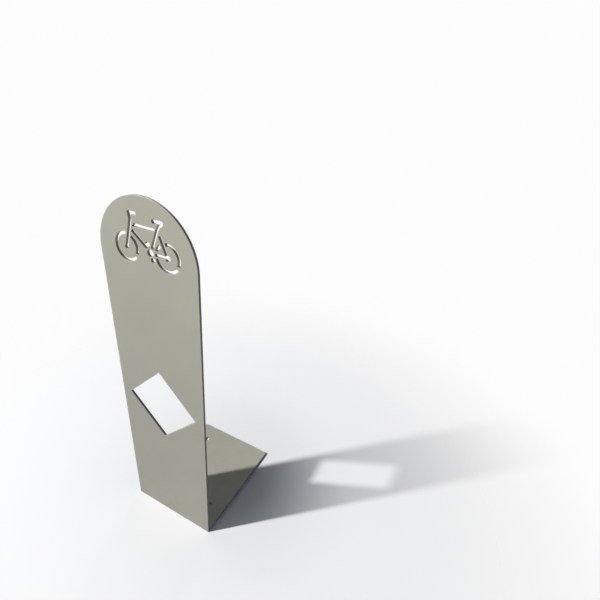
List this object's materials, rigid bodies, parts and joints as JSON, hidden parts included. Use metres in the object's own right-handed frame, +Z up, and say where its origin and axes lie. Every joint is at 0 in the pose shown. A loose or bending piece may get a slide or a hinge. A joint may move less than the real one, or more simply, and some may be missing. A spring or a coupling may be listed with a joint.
{
  "type": "bike rack",
  "caption": "Flat-plate bike rack: upright steel plate with half-round top, bicycle sign and diamond lock window, welded to a flat foot plate with anchor holes.",
  "frame": {"origin": "on the ground, at the middle of the rack's whole box", "axes": "+Z up; the front face with the bicycle sign looks towards -Y; the foot plate lies towards +Y; +X to the right seen from the front"},
  "size_m": [0.25, 0.306, 0.8999],
  "materials": {
    "powder_coat": "satin pebble-grey powder coat, fine grain",
    "powder_coat_over_weld": "satin pebble-grey powder coat over weld metal"
  },
  "bodies": {
    "root": {"upright_plate": "powder_coat", "foot_plate": "powder_coat", "inside_weld": "powder_coat_over_weld", "underside_weld": "powder_coat_over_weld"}
  },
  "joints": []
}
